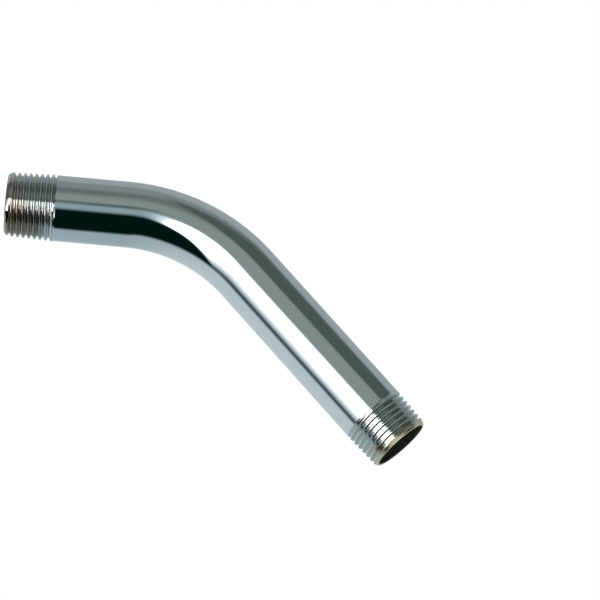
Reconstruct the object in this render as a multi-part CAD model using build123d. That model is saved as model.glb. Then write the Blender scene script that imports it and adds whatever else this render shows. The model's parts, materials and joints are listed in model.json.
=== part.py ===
"""Shower arm: one length of drawn brass tube, bent down once, with a taper pipe thread on each end.

The arm is modelled as it stands out of the wall. The origin is the middle of the inlet end, +X runs
out of the wall along the inlet leg, +Z is up, and the outlet leg turns down in the XZ plane. Each leg
is made on its own Z axis, and a station is a distance along that axis from the leg's end face.
"""

import math
import os

from build123d import *

# Tube of half-inch pipe size, in millimetres
tube_diameter = 21.3
tube_wall = 1.8

# Bend: radius of the tube's centre line, and how far the outlet leg turns down, in degrees
bend_radius = 57.0
bend_angle = 45.0

# Straight legs, each from its end face to the bend
inlet_leg_length = 39.0
outlet_leg_length = 75.0

# Taper pipe thread, right-handed and 14 turns to the inch: depth of its groove, how far its crests lie
# under the tube's surface at the end face, growth of its diameter for each millimetre, and length
thread_pitch = 25.4 / 14
thread_depth = 1.1
thread_end_inset = 0.3
thread_taper = 1 / 16
inlet_thread_length = 15.6
outlet_thread_length = 12.9

# Station of a crest on the side of the leg that its X axis points to
inlet_crest_station = 0.62
outlet_crest_station = 0.15

# Chamfer that leads a fitting on to the thread
lead_in_length = 1.2
lead_in_depth = 0.8

# Inner end of the thread: stretch in which the groove rises to the tube, stretch beyond it in which
# the last crest comes down to the tube, and slope of that crest in degrees
wash_out_length = 1.4
run_out_length = 0.6
run_out_angle = 20.0

# Burr taken off each mouth of the bore
mouth_chamfer = 0.3

tube_radius = tube_diameter / 2
bore_radius = tube_radius - tube_wall
taper_angle = math.atan(thread_taper / 2)


def crest_radius(station):
    """Radius over the thread's crests."""
    return tube_radius - thread_end_inset + station * thread_taper / 2


def root_radius(station):
    """Radius at the bottom of the thread's groove."""
    return crest_radius(station) - thread_depth


def turned(*outline):
    """Solid turned about Z from an outline of (radius, station) points."""
    return revolve(Plane.XZ * make_face(Polyline(*outline, close=True)), Axis.Z)


def one_turn(station, radius):
    """One turn of a helix, from a station and radius, that widens with the thread's taper."""
    return Edge.make_helix(
        pitch=thread_pitch / math.cos(taper_angle),
        height=thread_pitch,
        radius=radius,
        center=(0, 0, station),
        angle=math.degrees(taper_angle),
    )


def screw_end(low):
    """Faces that close a screw over one turn: a ramp from the crest to the axis, and a step."""
    middle = low + thread_pitch / 2
    high = low + thread_pitch
    ramp = Face.make_surface_from_curves(
        one_turn(low, crest_radius(low)),
        Edge.make_line((0, 0, low), (0, 0, high)),
    )
    groove = Polyline(
        (0, low),
        (crest_radius(low), low),
        (root_radius(middle), middle),
        (crest_radius(high), high),
        (0, high),
        close=True,
    )
    step = Plane.XZ * make_face(groove)
    return [ramp, step.face()]


def screw(crest_station, length):
    """Threaded bar that reaches past station 0 and a length, with sharp crests and roots.

    Its skin is ruled from each turn of the crest to the next turn of the root, and back.
    """
    first = crest_station - 2 * thread_pitch
    turns = math.ceil((length - first) / thread_pitch)
    helices = []
    for turn in range(turns):
        crest = first + turn * thread_pitch
        root = crest + thread_pitch / 2
        helices.append(one_turn(crest, crest_radius(crest)))
        helices.append(one_turn(root, root_radius(root)))
    last = first + turns * thread_pitch
    helices.append(one_turn(last, crest_radius(last)))
    flanks = [Face.make_surface_from_curves(low, high) for low, high in zip(helices, helices[1:])]
    return Solid(Shell(flanks + screw_end(first) + screw_end(last)))


def threaded_leg(leg_length, thread_length, crest_station):
    """One straight leg, about Z, from its end face at Z = 0 up to the bend."""
    face_radius = crest_radius(0) - lead_in_depth
    lead_in_slope = (crest_radius(lead_in_length) - face_radius) / lead_in_length
    run_out_end = thread_length + run_out_length
    run_out_slope = math.tan(math.radians(run_out_angle))

    # The envelope's two cones go on past the crests and into the tube, and so cut right through
    clear_radius = crest_radius(run_out_end) + thread_depth / 4
    sunk_radius = tube_radius - thread_depth / 4
    top = run_out_end + (tube_radius - sunk_radius) / run_out_slope
    envelope = turned(
        (0, 0),
        (face_radius, 0),
        (clear_radius, (clear_radius - face_radius) / lead_in_slope),
        (clear_radius, run_out_end - (clear_radius - tube_radius) / run_out_slope),
        (sunk_radius, top),
        (0, top),
    )
    thread = screw(crest_station, top) & envelope

    # The core starts inside the thread, below its roots, and its cone ends the groove
    core_radius = (bore_radius + root_radius(0)) / 2
    wash_out_start = thread_length - wash_out_length
    wash_out_slope = (tube_radius - root_radius(wash_out_start)) / wash_out_length
    core = turned(
        (0, thread_length / 2),
        (core_radius, thread_length / 2),
        (core_radius, thread_length - (tube_radius - core_radius) / wash_out_slope),
        (tube_radius, thread_length),
        (tube_radius, leg_length),
        (0, leg_length),
    )
    bore = turned(
        (0, 0),
        (bore_radius + mouth_chamfer, 0),
        (bore_radius, mouth_chamfer),
        (bore_radius, leg_length),
        (0, leg_length),
    )
    return thread + core - bore


# The bend is the tube's ring section, turned about an axis across the tube and below it
bend_centre = (inlet_leg_length, 0, -bend_radius)
bend_start = Plane(origin=(inlet_leg_length, 0, 0), z_dir=(1, 0, 0))
tube_ring = bend_start * (Circle(tube_radius) - Circle(bore_radius))
bend = revolve(tube_ring, Axis(bend_centre, (0, 1, 0)), bend_angle)

# The legs: each one's Z axis looks from its end face towards the bend
inlet_end = Rot(0, 90, 0)
bend_end = Pos(bend_centre) * Rot(0, bend_angle, 0) * Pos(0, 0, bend_radius)
outlet_end = bend_end * Pos(outlet_leg_length, 0, 0) * Rot(0, -90, 0)
inlet_leg = inlet_end * threaded_leg(inlet_leg_length, inlet_thread_length, inlet_crest_station)
outlet_leg = outlet_end * threaded_leg(outlet_leg_length, outlet_thread_length, outlet_crest_station)

shower_arm = inlet_leg + bend + outlet_leg
shower_arm.label = "shower_arm"

os.makedirs("parts", exist_ok=True)
export_step(shower_arm, "parts/shower_arm.step")
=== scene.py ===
"""Shower arm: a bent chrome-plated tube with a pipe thread cut on each end, in a plain studio.

All sizes are in metres. The origin is the middle of the inlet end, +X runs along the inlet leg and
+Z is up. A leg is modelled on its own Z axis, from its end face at Z = 0 to the bend, and a station
is a distance along that axis from the end face.
"""

import json
import math

import bmesh
import bpy
from bpy.props import FloatProperty, FloatVectorProperty, IntProperty, PointerProperty
from mathutils import Matrix, Vector


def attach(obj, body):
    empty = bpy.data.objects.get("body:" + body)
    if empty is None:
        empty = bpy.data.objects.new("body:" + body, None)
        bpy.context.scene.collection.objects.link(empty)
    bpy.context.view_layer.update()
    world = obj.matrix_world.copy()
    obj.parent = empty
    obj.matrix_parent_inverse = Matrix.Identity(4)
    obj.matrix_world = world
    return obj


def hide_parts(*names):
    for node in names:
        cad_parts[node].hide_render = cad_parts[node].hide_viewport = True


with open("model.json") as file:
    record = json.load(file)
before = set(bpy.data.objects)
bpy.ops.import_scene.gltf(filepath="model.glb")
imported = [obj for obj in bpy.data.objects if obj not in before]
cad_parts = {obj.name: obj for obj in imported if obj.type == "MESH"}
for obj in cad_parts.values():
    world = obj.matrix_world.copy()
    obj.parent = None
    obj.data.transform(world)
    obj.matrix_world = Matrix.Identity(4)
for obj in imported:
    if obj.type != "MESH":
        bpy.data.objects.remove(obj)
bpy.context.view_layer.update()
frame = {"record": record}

bl_info = {
    "name": "Shower Arm",
    "version": (1, 0, 0),
    "blender": (4, 5, 0),
    "location": "View3D > Sidebar > Shower Arm",
    "description": "Models a bent, threaded and chrome-plated shower arm in a plain studio",
    "category": "Object",
}

# Places and sizes that the frame gives
MOUNTS = {mount["name"]: mount for mount in frame["record"]["mounts"]}
OUTLET_END = Vector(MOUNTS["head_thread"]["pos_m"])
OUTLET_AXIS = Vector(MOUNTS["head_thread"]["axis"]).normalized()
INLET_AXIS = -Vector(MOUNTS["wall_thread"]["axis"])
TUBE_RADIUS = MOUNTS["tube_by_wall"]["dims"]["r_mm"] / 1000
PLATE_COLOUR = frame["record"]["materials"][0]["base_color"]

# Bend the outlet leg turns through, and the axis it turns about
BEND_ANGLE = INLET_AXIS.angle(OUTLET_AXIS)
BEND_AXIS = INLET_AXIS.cross(OUTLET_AXIS).normalized()

# Directions to the back of the studio and up
BACKWARD = Vector((0, 1, 0))
UPWARD = Vector((0, 0, 1))

# Points closer than this are one point, and points closer to a cut than this lie on it
WELD = 2e-6
CUT_REACH = 2e-7

# Turns of thread that are made beyond an end face and cut off
SPARE_TURNS = 2

# Facets in a rounded corner, and the angle from which an edge looks sharp
ROUNDING_SEGMENTS = 2
SHARP_ANGLE = math.radians(12)

# Noise in the finish: its grains for each metre, and its detail
CLOUD = (420, 3)
GRAIN = (2600, 2)
STAIN = (300, 4)
NOISE_MIDDLE = 0.5

# How far the edges of worn plate and of the darker tinge under the inlet's thread stray, and the share of
# that at the rust
RAGGED = 0.003
RUST_RAGGED = 0.3

# Lean of the inlet's worn edge with height
WEAR_LEAN = 0.4

# Heights and stations where the darker, browner tinge under the inlet's thread starts, and where it is
# whole
UNDERSIDE_HEIGHT = (-0.0035, -0.0055)
UNDERSIDE_STATION = (0.0145, 0.0105)

# Middle of the rust on the outlet's first turns, and the share of its reach where it is whole
RUST_PLACE = Vector((0.125, -0.0063, -0.0741))
RUST_CORE = 1 / 3

# Stations where bare metal starts and is whole, at the outlet as shares of the lead-in
INLET_FACE = (0.00022, 0.00008)
OUTLET_FACE = (1.3, 0.8)

# Shares of the thread's depth where the groove starts to be rougher and darkened with painted shade, and
# where it is wholly so
GROOVE_DEPTH = (0.03, 0.22)

# Roughness that grain, groove, rust and bare metal add to the plate
GRAIN_ROUGHNESS = 0.02
GROOVE_ROUGHNESS = 0.02
RUST_ROUGHNESS = 0.2
FACE_ROUGHNESS = 0.2

# Gloss of the bore, the shade of its stains, and the noise where they start to clear and are gone
BORE_ROUGHNESS = 0.55
STAIN_ROUGHNESS = 0.2
BORE_SPECULAR = 0.2
BORE_SHADE = 0.4
STAIN_EDGE = (0.3, 0.7)

# Width of the camera's sensor, in millimetres
SENSOR_WIDTH = 36

# Place, spread and strength of the lamps that light the floor
KEY_LAMP = ((-1.6, -2.0, 2.6), math.radians(12), 2.2)
FILL_LAMP = ((2.2, 1.2, 2.8), math.radians(30), 0.7)

# Edges of what stands round the arm: degrees from the line of sight where each starts, and is whole
LAMP_FOOT = (-3, 3)
LAMP_RIGHT = (-1.5, -13)
LAMP_TOP = (26, 15)
LAMP_FAR = (82, 40)
CORE_FAR = (54, 40)
FRINGE_TOP = (24, 11)
BAR_LEFT = (-1.5, 2)
BAR_FOOT = (15, 21)
BAR_TOP = (33, 25)
DARK_TOP = (6.5, -7.5)
SHADE = (44, 68)
CORNICE = (70, 90)
CORNER_LEFT = (14, 20)
CORNER_FOOT = (50.5, 55)
CORNER_TOP = (98, 74)
SHEET_NOTCH = (-18, -9)
ASIDE_LEFT = (48, 70)
ASIDE_EDGE = (-12, -30)
ASIDE_RIGHT = (5, 30)
ASIDE_FOOT = (-8, 2)
NEAR_RIGHT = (5, 18)
NEAR_UNDER = (-8, -26)
SHEET_UNDER = (-20, -50)
SHEET_LEFT = (-8, -85)
SHEET_HIGH = (-20, 20)

# Slants of the lamp's foot and of its right edge
LAMP_FOOT_SLANT = 0.68
LAMP_RIGHT_SLANT = 0.25

# Shares of the lamp where its own colour and its core start, and where they are whole
LAMP_RIM = (0, 0.6)
LAMP_CORE = (0.6, 0.9)

# Parts of a direction where the sheet behind starts and is whole, and the depth of a notch in it
SHEET_EDGE = (-0.093, 0.157)
NOTCH_DEPTH = 0.1


def length_property(name, description, default):
    """A length in metres that the sidebar shows in the scene's unit."""
    return FloatProperty(
        name=name,
        description=description,
        default=default,
        min=0.0,
        precision=5,
        subtype="DISTANCE",
        unit="LENGTH",
    )


def colour_property(name, description, default):
    """A colour in scene-linear red, green and blue."""
    return FloatVectorProperty(
        name=name,
        description=description,
        default=default,
        min=0.0,
        soft_max=1.0,
        size=3,
        subtype="COLOR",
    )


def angle_property(name, description, degrees):
    """An angle, written here in degrees."""
    return FloatProperty(
        name=name,
        description=description,
        default=math.radians(degrees),
        subtype="ANGLE",
        unit="ROTATION",
    )


class ArmSizes(bpy.types.PropertyGroup):
    """Sizes of the tube, its bend and its threads."""

    tube_radius: length_property("Tube Radius", "Outside radius of the plain tube", TUBE_RADIUS)
    bore_radius: length_property("Bore Radius", "Inside radius of the tube", 0.00885)
    bend_radius: length_property("Bend Radius", "Radius of the centre line in the bend", 0.057)
    end_radius: length_property("End Radius", "Radius over the thread's crests at an end face", 0.01035)
    taper: FloatProperty(
        name="Taper",
        description="Growth of the crests' radius for each metre along the thread",
        default=1 / 32,
    )
    pitch: length_property("Pitch", "Distance from one crest of the thread to the next", 0.0254 / 14)
    thread_depth: length_property("Thread Depth", "Depth of the thread from crest to root", 0.0011)
    flank_angle: angle_property("Flank Angle", "Slope of the thread's flanks from square to the axis", 30)
    inlet_rounding: length_property("Inlet Rounding", "Rounding of the inlet thread's edges", 0.00006)
    outlet_rounding: length_property("Outlet Rounding", "Rounding of the outlet thread's edges", 0.0001)
    inlet_thread: length_property("Inlet Thread", "Length of the inlet's thread", 0.0156)
    outlet_thread: length_property("Outlet Thread", "Length of the outlet's thread", 0.0129)
    inlet_start: length_property("Inlet Start", "Station of the inlet's first crest, unturned", 0.00062)
    outlet_start: length_property("Outlet Start", "Station of the outlet's first crest, unturned", 0.00015)
    lead_in_length: length_property("Lead-in Length", "Length of the chamfer on an end", 0.0012)
    lead_in_depth: length_property("Lead-in Depth", "Depth of the chamfer on an end", 0.0008)
    run_out_length: length_property("Run-out Length", "Slope from the last crest to the tube", 0.0006)
    clean_rim: length_property("Clean Rim", "Length of the ring at an end that has no groove", 0.0008)
    first_turn: length_property("First Turn", "Length in which the groove deepens beyond that", 0.0009)
    last_turn: length_property("Last Turn", "Length in which the groove rises to the tube", 0.001)
    mouth_chamfer: length_property("Mouth Chamfer", "Burr taken off a mouth of the bore", 0.0003)
    rim_rounding: length_property("Rim Rounding", "Rounding of the edges of an end face", 0.00012)
    segments: IntProperty(
        name="Segments",
        description="Facets round the tube and round each turn of thread",
        default=128,
        min=16,
    )
    bend_steps: IntProperty(name="Bend Steps", description="Facets along the bend", default=40, min=4)


class ArmFinish(bpy.types.PropertyGroup):
    """Colours and gloss of the plating, and where it is worn, with painted shade in the thread's grooves
    and in the bore.
    """

    plate: colour_property("Plate", "Polished chrome plate", PLATE_COLOUR)
    inlet_tinge: colour_property("Inlet Tinge", "Tinge of worn plate at the inlet", (1.0, 0.88, 0.79))
    outlet_tinge: colour_property("Outlet Tinge", "Tinge of worn plate at the outlet", (0.97, 0.86, 0.69))
    rust: colour_property("Rust", "Tinge of a rusty patch on the outlet's first turns", (0.62, 0.44, 0.38))
    # Darker, browner tinge on the low side of the inlet's thread
    underside_tinge: colour_property("Soil", "Tinge of dirt under the inlet's thread", (0.6, 0.58, 0.54))
    # Painted shade: the plate's colour darkened deep in the thread's groove
    groove: colour_property("Groove", "Plate dulled in the thread's groove", (0.60, 0.63, 0.60))
    rim: colour_property("Rim", "Bare metal of an end face", (0.95, 0.77, 0.59))
    # Partly painted shade: dark metal of the bore, darkened further for the shade inside the tube
    bore: colour_property("Bore", "Dull metal inside the tube", (0.029, 0.044, 0.020))
    inlet_wear: length_property("Inlet Wear", "Length of worn thread at the inlet", 0.009)
    outlet_wear: length_property("Outlet Wear", "Length of worn thread at the outlet", 0.0042)
    rust_size: length_property("Rust Size", "Reach of the rusty patch from its middle", 0.0022)
    polish: FloatProperty(
        name="Polish",
        description="Roughness of the plate where it is brightest",
        default=0.025,
        min=0.0,
        max=1.0,
        subtype="FACTOR",
    )


class StudioSettings(bpy.types.PropertyGroup):
    """Camera, floor and the surroundings that the plate mirrors."""

    target: FloatVectorProperty(
        name="Target",
        description="Point that the camera looks at",
        default=(0.096923, 0.0, -0.024031),
        size=3,
        subtype="TRANSLATION",
        unit="LENGTH",
    )
    distance: length_property("Distance", "Distance from the camera to its target", 0.99487)
    azimuth: angle_property("Azimuth", "Turn of the camera about the upright", -1.962)
    elevation: angle_property("Elevation", "Height of the camera over the horizon", -20.072)
    roll: angle_property("Roll", "Turn of the picture about the line of sight", 4.403)
    lens: FloatProperty(
        name="Lens",
        description="Focal length of the camera, in millimetres",
        default=185.7,
        min=1.0,
    )
    floor_drop: length_property("Floor Drop", "Depth of the floor under the origin", 0.75)
    floor_size: length_property("Floor Size", "Side of the floor", 30.0)
    floor_colour: colour_property("Floor", "Pale studio floor", (0.86, 0.86, 0.86))
    lamp: colour_property("Lamp", "Large soft lamp in front and to the left", (1.22, 1.4, 1.5))
    lamp_core: colour_property("Lamp Core", "Middle of the soft lamp", (6.5, 6.5, 6.5))
    fringe: colour_property("Fringe", "Edge of the lamp, lit through its cloth", (0.29, 0.415, 0.45))
    bar: colour_property("Bar", "Dark bar over the fringe", (0.10, 0.15, 0.155))
    dark: colour_property("Dark", "Unlit room in front and below", (0.001, 0.0095, 0.007))
    ceiling: colour_property("Ceiling", "Room over the lamp", (0.268, 0.327, 0.307))
    shade: colour_property("Shade", "Room higher up, further from the lamp", (0.148, 0.185, 0.175))
    cornice: colour_property("Cornice", "Paler strip at the top of the room", (0.235, 0.286, 0.29))
    corner: colour_property("Corner", "Upper room on the right", (0.08, 0.112, 0.097))
    sheet_high: colour_property("Sheet High", "Pale sheet behind, seen from above", (0.35, 0.41, 0.42))
    sheet_low: colour_property("Sheet Low", "Pale sheet behind, seen from below", (0.36, 0.457, 0.50))
    sheet_left: colour_property("Sheet Left", "Pale sheet behind, near the lamp", (0.57, 0.66, 0.69))
    sheet_near: colour_property("Sheet Near", "Pale sheet in front, low on the right", (0.60, 0.66, 0.60))
    aside: colour_property("Aside", "Unlit room on both sides", (0.08, 0.105, 0.105))


def smooth_share(value):
    """Smooth rise from 0 to 1 as the value goes from 0 to 1."""
    value = min(max(value, 0.0), 1.0)
    return value * value * (3 - 2 * value)


def leg_lengths(sizes):
    """Lengths of the inlet and outlet legs, from their end faces to the bend."""
    tangent = sizes.bend_radius * math.tan(BEND_ANGLE / 2)
    corner_to_outlet = OUTLET_END.z / OUTLET_AXIS.z
    corner = OUTLET_END - OUTLET_AXIS * corner_to_outlet
    return corner.length - tangent, corner_to_outlet - tangent


def crest_radius(sizes, station):
    """Radius over the thread's crests."""
    return sizes.end_radius + station * sizes.taper


def outer_radius(sizes, thread_length, station):
    """Outside radius of a leg over its lead-in, thread and run-out."""
    if station < sizes.lead_in_length:
        face_radius = sizes.end_radius - sizes.lead_in_depth
        share = station / sizes.lead_in_length
        return face_radius + share * (crest_radius(sizes, sizes.lead_in_length) - face_radius)
    if station > thread_length:
        share = (station - thread_length) / sizes.run_out_length
        last_crest = crest_radius(sizes, thread_length)
        return last_crest + share * (sizes.tube_radius - last_crest)
    return crest_radius(sizes, station)


def groove_share(sizes, thread_length, station):
    """Share of the full depth that the groove has at a station."""
    opening = smooth_share((station - sizes.clean_rim) / sizes.first_turn)
    closing = smooth_share((thread_length + sizes.run_out_length - station) / sizes.last_turn)
    return opening * closing


def wire(bm, points):
    """Corners of an outline in the XZ plane, through (radius, station) points."""
    verts = [bm.verts.new((radius, 0, station)) for radius, station in points]
    for pair in zip(verts, verts[1:]):
        bm.edges.new(pair)
    return verts


def round_corners(bm, corners, rounding):
    """Rounds the corners of an outline, from a distance along its edges on both sides."""
    bmesh.ops.bevel(
        bm,
        geom=corners,
        offset=rounding,
        offset_type="OFFSET",
        segments=ROUNDING_SEGMENTS,
        profile=0.5,
        affect="VERTICES",
        material=-1,
    )


def lathe(bm, points, corners, rounding, segments):
    """Surface turned about Z from an outline whose listed corners are rounded."""
    part = bmesh.new()
    verts = wire(part, points)
    if corners:
        round_corners(part, [verts[index] for index in corners], rounding)
    bmesh.ops.spin(
        part,
        geom=part.verts[:] + part.edges[:],
        cent=(0, 0, 0),
        axis=(0, 0, 1),
        angle=math.tau,
        steps=segments,
        use_merge=True,
    )
    join(bm, part)


def join(bm, part):
    """Adds a part's mesh to another, and frees the part."""
    mesh = bpy.data.meshes.new("part")
    part.to_mesh(mesh)
    part.free()
    bm.from_mesh(mesh)
    bpy.data.meshes.remove(mesh)


def cut_thread(bm, sizes, thread_length, start, rounding, low, high):
    """Right-handed thread between two stations, as the skin that one pitch's outline sweeps as a screw."""
    part = bmesh.new()
    flank = sizes.thread_depth * math.tan(sizes.flank_angle)
    flat = sizes.pitch / 2 - flank
    crest = sizes.tube_radius
    root = crest - sizes.thread_depth
    middle = (crest + root) / 2
    first = start - SPARE_TURNS * sizes.pitch
    low_flank = first - flat / 2 - flank
    outline = [
        (middle, low_flank + flank / 2),
        (crest, low_flank + flank),
        (crest, low_flank + flank + flat),
        (root, low_flank + 2 * flank + flat),
        (root, low_flank + 2 * flank + 2 * flat),
        (middle, low_flank + flank / 2 + sizes.pitch),
    ]
    verts = wire(part, outline)
    round_corners(part, verts[1:-1], rounding)
    bmesh.ops.spin(
        part,
        geom=part.verts[:] + part.edges[:],
        cent=(0, 0, 0),
        axis=(0, 0, 1),
        dvec=(0, 0, sizes.pitch / sizes.segments),
        angle=math.tau,
        steps=sizes.segments,
    )
    turn = part.verts[:] + part.edges[:] + part.faces[:]
    for count in range(1, math.ceil((high - first) / sizes.pitch) + 1):
        copy = bmesh.ops.duplicate(part, geom=turn)["geom"]
        verts = [item for item in copy if isinstance(item, bmesh.types.BMVert)]
        bmesh.ops.translate(part, vec=(0, 0, count * sizes.pitch), verts=verts)
    bmesh.ops.remove_doubles(part, verts=part.verts, dist=WELD)
    for station, side in ((low, -1), (high, 1)):
        bmesh.ops.bisect_plane(
            part,
            geom=part.verts[:] + part.edges[:] + part.faces[:],
            dist=CUT_REACH,
            plane_co=(0, 0, station),
            plane_no=(0, 0, side),
            clear_outer=True,
        )
    for vert in part.verts:
        station = vert.co.z
        radius = vert.co.xy.length
        depth = (sizes.tube_radius - radius) * groove_share(sizes, thread_length, station)
        share = (outer_radius(sizes, thread_length, station) - depth) / radius
        vert.co.x *= share
        vert.co.y *= share
    join(bm, part)


def open_loop(bm, station):
    """Edges of the open loop that lies at a station."""
    return [
        edge
        for edge in bm.edges
        if edge.is_boundary and all(abs(vert.co.z - station) < WELD for vert in edge.verts)
    ]


def make_leg(arm, sizes, place, leg_length, thread_length, start, rounding):
    """One leg: the rim and bore, the thread and the plain tube, moved to its place."""
    leg = bmesh.new()
    gap = sizes.rim_rounding / 2
    rim_top = 2 * sizes.rim_rounding
    thread_top = thread_length + sizes.run_out_length
    rim = [
        (outer_radius(sizes, thread_length, rim_top), rim_top),
        (outer_radius(sizes, thread_length, 0), 0),
        (sizes.bore_radius + sizes.mouth_chamfer, 0),
        (sizes.bore_radius, sizes.mouth_chamfer),
        (sizes.bore_radius, leg_length),
    ]
    tube = [
        (sizes.tube_radius, thread_top + gap),
        (sizes.tube_radius, leg_length),
    ]
    lathe(leg, rim, (1, 2, 3), sizes.rim_rounding, sizes.segments)
    lathe(leg, tube, (), 0, sizes.segments)
    cut_thread(leg, sizes, thread_length, start, rounding, rim_top + gap, thread_top)
    for lower, upper in ((rim_top, rim_top + gap), (thread_top, thread_top + gap)):
        bmesh.ops.bridge_loops(leg, edges=open_loop(leg, lower) + open_loop(leg, upper))
    leg.transform(place)
    join(arm, leg)


def bend_tube(arm, sizes, inlet_length):
    """Turns the open loops of the inlet leg, outside and bore, through the bend."""
    loops = [
        edge
        for edge in arm.edges
        if edge.is_boundary and all(abs(vert.co.x - inlet_length) < WELD for vert in edge.verts)
    ]
    verts = {vert for edge in loops for vert in edge.verts}
    bmesh.ops.spin(
        arm,
        geom=list(verts) + loops,
        cent=INLET_AXIS * inlet_length - Vector((0, 0, sizes.bend_radius)),
        axis=BEND_AXIS,
        angle=BEND_ANGLE,
        steps=sizes.bend_steps,
    )


def centre_line_distance(sizes, point, inlet_length, outlet_length):
    """Distance of a point from the tube's centre line."""
    from_outlet = point - OUTLET_END
    along_outlet = from_outlet.dot(OUTLET_AXIS)
    if point.x < inlet_length:
        return point.yz.length
    if along_outlet > -outlet_length:
        return (from_outlet - OUTLET_AXIS * along_outlet).length
    turn = Vector((point.x - inlet_length, point.z + sizes.bend_radius)).length
    return math.hypot(turn - sizes.bend_radius, point.y)


class Signal:
    """A value in a node tree. Operators on it add Math nodes, and node() adds any other node."""

    def __init__(self, tree, socket=None):
        self.tree = tree
        self.socket = socket

    def node(self, kind, settings=None, inputs=None, output=None):
        """Adds a node, with its settings first and then the values or links of its sockets."""
        made = self.tree.nodes.new(kind)
        for name, value in (settings or {}).items():
            setattr(made, name, value)
        for key, value in (inputs or {}).items():
            if isinstance(value, Signal):
                self.tree.links.new(value.socket, made.inputs[key])
            else:
                made.inputs[key].default_value = value
        return Signal(self.tree, None if output is None else made.outputs[output])

    def maths(self, operation, *values):
        """A Math node on the given values."""
        return self.node("ShaderNodeMath", {"operation": operation}, dict(enumerate(values)), 0)

    def __add__(self, other):
        return self.maths("ADD", self, other)

    def __radd__(self, other):
        return self.maths("ADD", other, self)

    def __sub__(self, other):
        return self.maths("SUBTRACT", self, other)

    def __rsub__(self, other):
        return self.maths("SUBTRACT", other, self)

    def __mul__(self, other):
        return self.maths("MULTIPLY", self, other)

    def __rmul__(self, other):
        return self.maths("MULTIPLY", other, self)

    def __truediv__(self, other):
        return self.maths("DIVIDE", self, other)

    def __rtruediv__(self, other):
        return self.maths("DIVIDE", other, self)

    def rise(self, low, high):
        """Smooth step of this value: 0 at low and 1 at high, which may be the lesser."""
        return self.node(
            "ShaderNodeMapRange",
            {"interpolation_type": "SMOOTHSTEP"},
            {"Value": self, "From Min": low, "From Max": high},
            "Result",
        )

    def mix(self, low, high):
        """Colour between two, by this value as the share of the second."""
        return self.node("ShaderNodeMix", {"data_type": "RGBA"}, {0: self, 6: low, 7: high}, 2)

    def tint(self, colour, tinge):
        """Colour that takes on a tinge, by this value as the share of it."""
        settings = {"data_type": "RGBA", "blend_type": "MULTIPLY"}
        return self.node("ShaderNodeMix", settings, {0: self, 6: colour, 7: tinge}, 2)

    def dot(self, vector):
        """Dot product of this vector and another."""
        return self.node(
            "ShaderNodeVectorMath", {"operation": "DOT_PRODUCT"}, {0: self, 1: vector}, "Value"
        )

    def distance(self, vector):
        """Distance from this vector to a fixed one."""
        return self.node(
            "ShaderNodeVectorMath", {"operation": "DISTANCE"}, {0: self, 1: vector}, "Value"
        )

    def minus(self, vector):
        """This vector less a fixed one."""
        return self.node("ShaderNodeVectorMath", {"operation": "SUBTRACT"}, {0: self, 1: vector}, 0)


def opaque(colour):
    """A colour with the full alpha that colour sockets ask for."""
    return (*colour, 1.0)


def new_material(name):
    """An empty node material and the signal that adds nodes to it."""
    material = bpy.data.materials.new(name)
    material.use_nodes = True
    material.node_tree.nodes.clear()
    return material, Signal(material.node_tree)


def noise(graph, place, scale, detail):
    """Even noise, about a half, at a number of grains for each metre."""
    return graph.node(
        "ShaderNodeTexNoise",
        {"noise_dimensions": "3D"},
        {"Vector": place, "Scale": scale, "Detail": detail},
        "Fac",
    )


def groove_mask(sizes, from_end, station, thread_length):
    """1 deep in a thread's groove and 0 on its crests and beyond its ends."""
    off_axis = from_end.dot(from_end) - station * station
    radius = station.maths("SQRT", off_axis)
    depth = sizes.end_radius + station * sizes.taper - radius
    inside = station.rise(thread_length + sizes.run_out_length, thread_length - sizes.run_out_length)
    clear = station.rise(sizes.lead_in_length / 2, sizes.lead_in_length)
    dull_and_shaded = depth.rise(*(sizes.thread_depth * share for share in GROOVE_DEPTH))
    return dull_and_shaded * inside * clear


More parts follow.
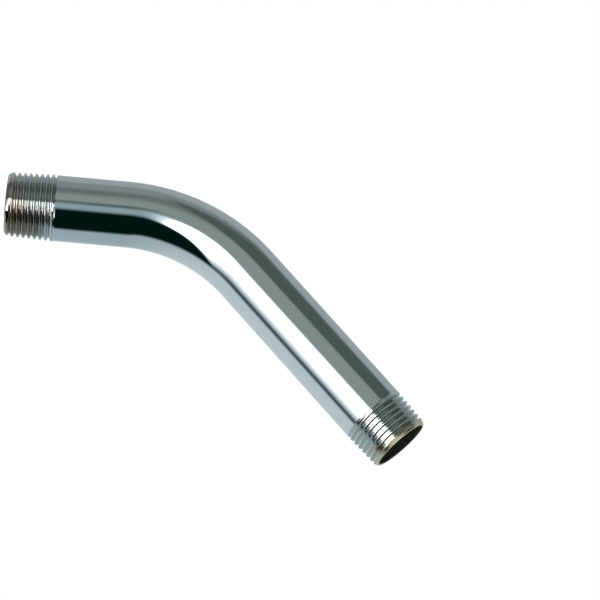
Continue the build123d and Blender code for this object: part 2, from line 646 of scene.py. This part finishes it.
def plate_material(sizes, finish):
    """Chrome plate, worn warm and rusty in places on the threads, darker and browner low on the inlet's
    thread, with painted shade deep in the grooves and bare metal on the ends.
    """
    material, graph = new_material("chrome_plate")
    place = graph.node("ShaderNodeTexCoord", output="Object")
    from_outlet = place.minus(OUTLET_END)
    inlet_station = place.dot(INLET_AXIS)
    outlet_station = from_outlet.dot(-OUTLET_AXIS)
    inlet_groove = groove_mask(sizes, place, inlet_station, sizes.inlet_thread)
    outlet_groove = groove_mask(sizes, from_outlet, outlet_station, sizes.outlet_thread)
    groove = inlet_groove.maths("MAXIMUM", inlet_groove, outlet_groove)
    cloud = noise(graph, place, *CLOUD)
    grain = noise(graph, place, *GRAIN)
    ragged = (cloud - NOISE_MIDDLE) * RAGGED
    height = place.dot(UPWARD)
    # Darker, browner tinge on the low side of the inlet's thread
    underside_share = (height + ragged).rise(*UNDERSIDE_HEIGHT) * inlet_station.rise(*UNDERSIDE_STATION)
    inlet_worn = (inlet_station + ragged + height * WEAR_LEAN).rise(finish.inlet_wear, 0)
    outlet_worn = (outlet_station + ragged).rise(finish.outlet_wear, 0)
    from_rust = place.distance(RUST_PLACE) + ragged * RUST_RAGGED
    rusty = from_rust.rise(finish.rust_size, finish.rust_size * RUST_CORE)
    inlet_face = inlet_station.rise(*INLET_FACE)
    outlet_face = outlet_station.rise(*(sizes.lead_in_length * share for share in OUTLET_FACE))
    face = inlet_face.maths("MAXIMUM", inlet_face, outlet_face)
    # Painted shade: the plate's colour darkened deep in the thread's grooves, where the groove is also
    # rougher
    plate = groove.mix(opaque(finish.plate), opaque(finish.groove))
    plate = inlet_worn.tint(plate, opaque(finish.inlet_tinge))
    plate = outlet_worn.tint(plate, opaque(finish.outlet_tinge))
    plate = rusty.tint(plate, opaque(finish.rust))
    plate = underside_share.tint(plate, opaque(finish.underside_tinge))
    colour = face.mix(plate, opaque(finish.rim))
    roughness = finish.polish + grain * GRAIN_ROUGHNESS + groove * GROOVE_ROUGHNESS
    roughness = roughness + rusty * RUST_ROUGHNESS + face * FACE_ROUGHNESS
    graph.node(
        "ShaderNodeOutputMaterial",
        inputs={
            "Surface": graph.node(
                "ShaderNodeBsdfPrincipled",
                inputs={"Base Color": colour, "Roughness": roughness, "Metallic": 1.0},
                output="BSDF",
            )
        },
    )
    return material


def bore_material(finish):
    """Dull, dark metal inside the tube, its colour darkened further with painted shade."""
    material, graph = new_material("dull_bore_painted_shade")
    place = graph.node("ShaderNodeTexCoord", output="Object")
    stain = noise(graph, place, *STAIN)
    darker = [share * BORE_SHADE for share in finish.bore]
    # The bore's colour is dark metal darkened further with painted shade of the tube's inside, with darker
    # stains by noise
    colour = stain.rise(*STAIN_EDGE).mix(opaque(darker), opaque(finish.bore))
    graph.node(
        "ShaderNodeOutputMaterial",
        inputs={
            "Surface": graph.node(
                "ShaderNodeBsdfPrincipled",
                inputs={
                    "Base Color": colour,
                    "Roughness": BORE_ROUGHNESS + stain * STAIN_ROUGHNESS,
                    "Specular IOR Level": BORE_SPECULAR,
                },
                output="BSDF",
            )
        },
    )
    return material


class SHOWERARM_OT_arm(bpy.types.Operator):
    """Models the bent tube with its threads, plates it and sets it in its CAD place"""

    bl_idname = "shower_arm.arm"
    bl_label = "Model Arm"

    def execute(self, context):
        sizes = context.scene.shower_arm_sizes
        finish = context.scene.shower_arm_finish
        inlet_length, outlet_length = leg_lengths(sizes)
        inlet_place = Matrix.Rotation(math.pi / 2, 4, BEND_AXIS)
        outlet_turn = Matrix.Rotation(BEND_ANGLE - math.pi / 2, 4, BEND_AXIS)
        outlet_place = Matrix.Translation(OUTLET_END) @ outlet_turn
        arm = bmesh.new()
        inlet = (sizes.inlet_thread, sizes.inlet_start, sizes.inlet_rounding)
        outlet = (sizes.outlet_thread, sizes.outlet_start, sizes.outlet_rounding)
        make_leg(arm, sizes, inlet_place, inlet_length, *inlet)
        bend_tube(arm, sizes, inlet_length)
        make_leg(arm, sizes, outlet_place, outlet_length, *outlet)
        bmesh.ops.remove_doubles(arm, verts=arm.verts, dist=WELD)
        bmesh.ops.recalc_face_normals(arm, faces=arm.faces)
        if not all(edge.is_manifold for edge in arm.edges):
            raise RuntimeError("the arm's skin isn't closed")
        inner = sizes.bore_radius + sizes.mouth_chamfer / 2
        for face in arm.faces:
            face.smooth = True
            middle = face.calc_center_median()
            distance = centre_line_distance(sizes, middle, inlet_length, outlet_length)
            face.material_index = int(distance < inner)
        mesh = bpy.data.meshes.new("chrome_arm")
        arm.to_mesh(mesh)
        arm.free()
        mesh.set_sharp_from_angle(angle=SHARP_ANGLE)
        mesh.materials.append(plate_material(sizes, finish))
        mesh.materials.append(bore_material(finish))
        piece = bpy.data.objects.new("chrome_arm", mesh)
        context.scene.collection.objects.link(piece)
        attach(piece, "root")
        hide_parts("shower_arm")
        return {"FINISHED"}


def camera_axes(studio):
    """Right, up and back of the camera, from its azimuth, elevation and roll."""
    level = math.cos(studio.elevation)
    back = Vector((
        math.sin(studio.azimuth) * level,
        -math.cos(studio.azimuth) * level,
        math.sin(studio.elevation),
    ))
    flat_right = Vector((math.cos(studio.azimuth), math.sin(studio.azimuth), 0))
    flat_up = back.cross(flat_right)
    right = flat_right * math.cos(studio.roll) + flat_up * math.sin(studio.roll)
    return right, back.cross(right), back


def add_camera(scene, studio):
    """Camera at the photograph's viewing angle."""
    right, up, back = camera_axes(studio)
    camera = bpy.data.objects.new("camera", bpy.data.cameras.new("camera"))
    camera.data.lens = studio.lens
    camera.data.sensor_width = SENSOR_WIDTH
    camera.matrix_world = Matrix.Translation(Vector(studio.target) + back * studio.distance) @ (
        Matrix((right, up, back)).transposed().to_4x4()
    )
    scene.collection.objects.link(camera)
    scene.camera = camera


def add_floor(scene, studio):
    """Pale floor under the arm."""
    bm = bmesh.new()
    bmesh.ops.create_grid(bm, x_segments=1, y_segments=1, size=studio.floor_size / 2)
    bmesh.ops.translate(bm, vec=(0, 0, -studio.floor_drop), verts=bm.verts)
    mesh = bpy.data.meshes.new("floor")
    bm.to_mesh(mesh)
    bm.free()
    material, graph = new_material("floor")
    graph.node(
        "ShaderNodeOutputMaterial",
        inputs={
            "Surface": graph.node(
                "ShaderNodeBsdfDiffuse",
                inputs={"Color": opaque(studio.floor_colour)},
                output="BSDF",
            )
        },
    )
    mesh.materials.append(material)
    floor = bpy.data.objects.new("floor", mesh)
    floor.visible_glossy = False
    scene.collection.objects.link(floor)


def add_lamp(scene, name, place, spread, strength):
    """Soft lamp, far off, that looks at the origin and lights the floor evenly."""
    data = bpy.data.lights.new(name, "SUN")
    data.angle = spread
    data.energy = strength
    lamp = bpy.data.objects.new(name, data)
    lamp.location = place
    lamp.rotation_euler = Vector(place).to_track_quat("Z", "Y").to_euler()
    lamp.visible_glossy = False
    scene.collection.objects.link(lamp)


def studio_colour(graph, studio):
    """What stands round the arm, mapped in degrees to the right of the line of sight (x) and up (y)."""
    right, up, back = camera_axes(studio)
    direction = graph.node("ShaderNodeTexCoord", output="Generated")
    across = direction.dot(right)
    upward = direction.dot(up)
    toward = direction.dot(back)
    angle = toward.maths("ARCCOSINE", toward) * math.degrees(1)
    spread = angle / toward.maths("SQRT", across * across + upward * upward)
    x = across * spread
    y = upward * spread

    lamp = (
        (y - LAMP_FOOT_SLANT * x).rise(*LAMP_FOOT)
        * (x - LAMP_RIGHT_SLANT * y).rise(*LAMP_RIGHT)
        * y.rise(*LAMP_TOP)
        * angle.rise(*LAMP_FAR)
    )
    upper = y.rise(*SHADE).mix(opaque(studio.ceiling), opaque(studio.shade))
    corner = x.rise(*CORNER_LEFT) * y.rise(*CORNER_FOOT) * y.rise(*CORNER_TOP)
    upper = y.rise(*CORNICE).mix(upper, opaque(studio.cornice))
    upper = corner.mix(upper, opaque(studio.corner))
    bar = x.rise(*BAR_LEFT) * y.rise(*BAR_FOOT) * y.rise(*BAR_TOP)
    upper = bar.mix(upper, opaque(studio.bar))
    upper = y.rise(*FRINGE_TOP).mix(upper, opaque(studio.fringe))
    room = y.rise(*DARK_TOP).mix(upper, opaque(studio.dark))
    near = x.rise(*NEAR_RIGHT) * y.rise(*NEAR_UNDER)
    room = near.mix(room, opaque(studio.sheet_near))
    aside = (y - x).rise(*ASIDE_LEFT) * x.rise(*ASIDE_EDGE)
    aside = aside + (x - y).rise(*ASIDE_RIGHT) * y.rise(*ASIDE_FOOT)
    room = aside.mix(room, opaque(studio.aside))
    light = lamp.rise(*LAMP_RIM).mix(opaque(studio.fringe), opaque(studio.lamp))
    core = lamp.rise(*LAMP_CORE) * angle.rise(*CORE_FAR)
    light = core.mix(light, opaque(studio.lamp_core))
    room = lamp.mix(room, light)
    low_sheet = x.rise(*SHEET_LEFT).mix(opaque(studio.sheet_low), opaque(studio.sheet_left))
    sheet = y.rise(*SHEET_HIGH).mix(low_sheet, opaque(studio.sheet_high))
    notch = x.rise(*SHEET_NOTCH) * y.rise(*SHEET_UNDER)
    sheet_edge = direction.dot(BACKWARD) - notch * NOTCH_DEPTH
    return sheet_edge.rise(*SHEET_EDGE).mix(room, sheet)


def light_world(scene, studio):
    """White to the camera, and the studio's surroundings to everything else."""
    world = bpy.data.worlds.new("studio")
    world.use_nodes = True
    world.node_tree.nodes.clear()
    graph = Signal(world.node_tree)
    seen = graph.node("ShaderNodeLightPath", output="Is Camera Ray")
    around = graph.node(
        "ShaderNodeBackground", inputs={"Color": studio_colour(graph, studio)}, output="Background"
    )
    white = graph.node("ShaderNodeBackground", inputs={"Color": opaque((1, 1, 1))}, output="Background")
    surface = graph.node("ShaderNodeMixShader", inputs={0: seen, 1: around, 2: white}, output="Shader")
    graph.node("ShaderNodeOutputWorld", inputs={"Surface": surface})
    scene.world = world


class SHOWERARM_OT_stage(bpy.types.Operator):
    """Adds the camera, the floor, the lamps and the studio that the plate mirrors"""

    bl_idname = "shower_arm.stage"
    bl_label = "Set Stage"

    def execute(self, context):
        scene = context.scene
        studio = scene.shower_arm_studio
        add_camera(scene, studio)
        add_floor(scene, studio)
        add_lamp(scene, "key_lamp", *KEY_LAMP)
        add_lamp(scene, "fill_lamp", *FILL_LAMP)
        light_world(scene, studio)
        scene.view_settings.view_transform = "Standard"
        return {"FINISHED"}


class SHOWERARM_PT_sidebar(bpy.types.Panel):
    """Lists the arm's sizes and finish, the studio and the steps that make them"""

    bl_idname = "SHOWERARM_PT_sidebar"
    bl_label = "Shower Arm"
    bl_space_type = "VIEW_3D"
    bl_region_type = "UI"
    bl_category = "Shower Arm"

    def draw(self, context):
        layout = self.layout
        layout.use_property_split = True
        for group in ("shower_arm_sizes", "shower_arm_finish", "shower_arm_studio"):
            box = layout.box()
            values = getattr(context.scene, group)
            for name in values.bl_rna.properties.keys():
                if name not in {"rna_type", "name"}:
                    box.prop(values, name)
        layout.operator(SHOWERARM_OT_arm.bl_idname)
        layout.operator(SHOWERARM_OT_stage.bl_idname)


CLASSES = (
    ArmSizes,
    ArmFinish,
    StudioSettings,
    SHOWERARM_OT_arm,
    SHOWERARM_OT_stage,
    SHOWERARM_PT_sidebar,
)


def register():
    for item in CLASSES:
        bpy.utils.register_class(item)
    bpy.types.Scene.shower_arm_sizes = PointerProperty(type=ArmSizes)
    bpy.types.Scene.shower_arm_finish = PointerProperty(type=ArmFinish)
    bpy.types.Scene.shower_arm_studio = PointerProperty(type=StudioSettings)


def unregister():
    del bpy.types.Scene.shower_arm_studio
    del bpy.types.Scene.shower_arm_finish
    del bpy.types.Scene.shower_arm_sizes
    for item in reversed(CLASSES):
        bpy.utils.unregister_class(item)


def main():
    register()
    bpy.ops.shower_arm.arm()
    bpy.ops.shower_arm.stage()


if __name__ == "__main__":
    main()
